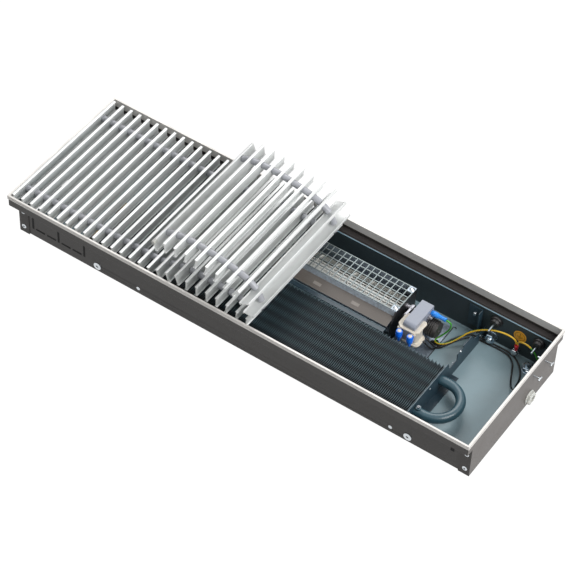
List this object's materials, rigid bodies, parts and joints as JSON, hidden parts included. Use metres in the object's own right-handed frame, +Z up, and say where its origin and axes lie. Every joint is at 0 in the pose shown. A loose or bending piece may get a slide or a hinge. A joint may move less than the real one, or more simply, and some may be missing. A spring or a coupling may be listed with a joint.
{
  "type": "trench convector heater",
  "caption": "Long sheet-steel floor trough with a finned water heat exchanger, a tangential fan and motor, terminal wiring and a roll-up aluminium bar grille, part rolled back.",
  "frame": {"origin": "centre of the trough's underside, midway along the trim frame", "axes": "+X along the trough towards the end with the cable gland, +Y towards the fan's side, +Z up out of the floor"},
  "size_m": [0.8103, 0.26, 0.1516],
  "materials": {
    "trough_paint": "satin powder coat",
    "end_paint": "satin powder coat",
    "trim_aluminium": "satin anodised",
    "bar_aluminium": "satin anodised",
    "spacer_plastic": "matt",
    "spring_steel": "bright",
    "seal_rubber": "matt",
    "zinc_steel": "bright zinc plate",
    "exchanger_paint": "semi-matt",
    "tube_paint": "satin",
    "fitting_brass": "turned",
    "fitting_nickel": "satin",
    "galvanised": "galvanised",
    "bracket_black": "satin",
    "impeller_aluminium": "satin",
    "cast_aluminium": "cast",
    "core_lacquer": "satin lacquer",
    "bobbin_plastic": "satin",
    "black_plastic": "satin",
    "blue_plastic": "glossy",
    "earth_insulation": "green and yellow",
    "black_insulation": "glossy",
    "red_sleeve": "glossy",
    "sticker_yellow": "matt film",
    "gland_plastic": "satin"
  },
  "bodies": {
    "trough": {"trough_shell": "trough_paint", "end_panel_left": "trough_paint", "end_panel_right": "end_paint", "trim_sides": "trim_aluminium", "trim_ends": "trim_aluminium", "ledge_seals": "seal_rubber", "panel_rivets": "zinc_steel", "wall_screws": "zinc_steel", "anchor_nuts": "zinc_steel", "levelling_screw": "zinc_steel", "fin_pack": "exchanger_paint", "water_tubes": "tube_paint", "return_bend": "tube_paint", "pipe_connectors": "fitting_brass", "exchanger_plate_right": "exchanger_paint", "exchanger_plate_left": "exchanger_paint", "exchanger_baffle": "exchanger_paint", "bleed_valve": "fitting_nickel", "fan_housing": "galvanised", "fan_guard": "galvanised", "fan_brackets": "bracket_black", "fan_bearing": "seal_rubber", "guard_screws": "zinc_steel", "motor_frame": "cast_aluminium", "motor_core": "core_lacquer", "motor_bobbin": "bobbin_plastic", "motor_cap": "black_plastic", "terminal_boots": "blue_plastic", "earth_connector": "blue_plastic", "cable_clip": "black_plastic", "earth_wire": "earth_insulation", "supply_cables": "black_insulation", "ring_terminal": "red_sleeve", "earth_stud": "zinc_steel", "earth_sticker": "sticker_yellow", "wall_knobs": "black_plastic", "knob_pins": "spring_steel", "cable_gland": "gland_plastic", "gland_nut": "gland_plastic", "end_latches": "spring_steel"},
    "grille": {"grille_flat": "bar_aluminium", "grille_spacers": "spacer_plastic", "grille_springs": "spring_steel"},
    "arch_rise": {"grille_arch_rise": "bar_aluminium"},
    "arch_top": {"grille_arch_top": "bar_aluminium"},
    "arch_fall": {"grille_arch_fall": "bar_aluminium"},
    "link_01": {"grille_link_01": "bar_aluminium"},
    "link_02": {"grille_link_02": "bar_aluminium"},
    "link_03": {"grille_link_03": "bar_aluminium"},
    "link_04": {"grille_link_04": "bar_aluminium"},
    "link_05": {"grille_link_05": "bar_aluminium"},
    "link_06": {"grille_link_06": "bar_aluminium"},
    "link_07": {"grille_link_07": "bar_aluminium"},
    "link_08": {"grille_link_08": "bar_aluminium"},
    "link_09": {"grille_link_09": "bar_aluminium"},
    "link_10": {"grille_link_10": "bar_aluminium"},
    "link_11": {"grille_link_11": "bar_aluminium"},
    "fan_rotor": {"fan_impeller": "impeller_aluminium", "motor_shaft": "spring_steel"},
    "bleed_screw": {"bleed_screw": "fitting_brass"}
  },
  "joints": [
    {"name": "grille_lift", "type": "slide", "parent": "trough", "child": "grille", "axis": [0, 0, 1], "range_m": [0, 0.12]},
    {"name": "arch_rise_turn", "type": "hinge", "parent": "grille", "child": "arch_rise", "pos_m": [-0.14615, 0, 0.0742], "axis": [0, 1, 0], "range_deg": [0, 16]},
    {"name": "arch_top_turn", "type": "hinge", "parent": "arch_rise", "child": "arch_top", "pos_m": [-0.09539, 0, 0.08875], "axis": [0, 1, 0], "range_deg": [-17, 0]},
    {"name": "arch_fall_turn", "type": "hinge", "parent": "arch_top", "child": "arch_fall", "pos_m": [-0.02501, 0, 0.08753], "axis": [0, 1, 0], "range_deg": [-8, 0]},
    {"name": "link_01_turn", "type": "hinge", "parent": "arch_fall", "child": "link_01", "pos_m": [0.02714, 0, 0.07927], "axis": [0, 1, 0], "range_deg": [0, 101]},
    {"name": "link_02_turn", "type": "hinge", "parent": "link_01", "child": "link_02", "pos_m": [0.02653, 0, 0.09685], "axis": [0, 1, 0], "range_deg": [0, 23]},
    {"name": "link_03_turn", "type": "hinge", "parent": "link_02", "child": "link_03", "pos_m": [0.01909, 0, 0.11281], "axis": [0, 1, 0], "range_deg": [0, 30]},
    {"name": "link_04_turn", "type": "hinge", "parent": "link_03", "child": "link_04", "pos_m": [0.00467, 0, 0.1229], "axis": [0, 1, 0], "range_deg": [0, 15]},
    {"name": "link_05_turn", "type": "hinge", "parent": "link_04", "child": "link_05", "pos_m": [-0.01186, 0, 0.12892], "axis": [0, 1, 0], "range_deg": [0, 8]},
    {"name": "link_06_turn", "type": "hinge", "parent": "link_05", "child": "link_06", "pos_m": [-0.02908, 0, 0.13258], "axis": [0, 1, 0], "range_deg": [0, 2]},
    {"name": "link_07_turn", "type": "hinge", "parent": "link_06", "child": "link_07", "pos_m": [-0.04641, 0, 0.13564], "axis": [0, 1, 0], "range_deg": [0, 2]},
    {"name": "link_08_turn", "type": "hinge", "parent": "link_07", "child": "link_08", "pos_m": [-0.06384, 0, 0.13809], "axis": [0, 1, 0], "range_deg": [0, 4]},
    {"name": "link_09_turn", "type": "hinge", "parent": "link_08", "child": "link_09", "pos_m": [-0.0814, 0, 0.13931], "axis": [0, 1, 0], "range_deg": [0, 5]},
    {"name": "link_10_turn", "type": "hinge", "parent": "link_09", "child": "link_10", "pos_m": [-0.09899, 0, 0.13901], "axis": [0, 1, 0], "range_deg": [0, 7]},
    {"name": "link_11_turn", "type": "hinge", "parent": "link_10", "child": "link_11", "pos_m": [-0.11642, 0, 0.13656], "axis": [0, 1, 0], "range_deg": [0, 12]},
    {"name": "fan_spin", "type": "hinge", "parent": "trough", "child": "fan_rotor", "pos_m": [0.18, 0.062, 0.029], "axis": [1, 0, 0], "continuous": true},
    {"name": "bleed_turn", "type": "hinge", "parent": "trough", "child": "bleed_screw", "pos_m": [0.2893, -0.077, 0.0325], "axis": [0, 0, 1], "range_deg": [0, 360]}
  ],
  "couplings": [
    {"joint": "arch_top_turn", "follows": "arch_rise_turn", "ratio": -1.0625},
    {"joint": "arch_fall_turn", "follows": "arch_rise_turn", "ratio": -0.5}
  ]
}
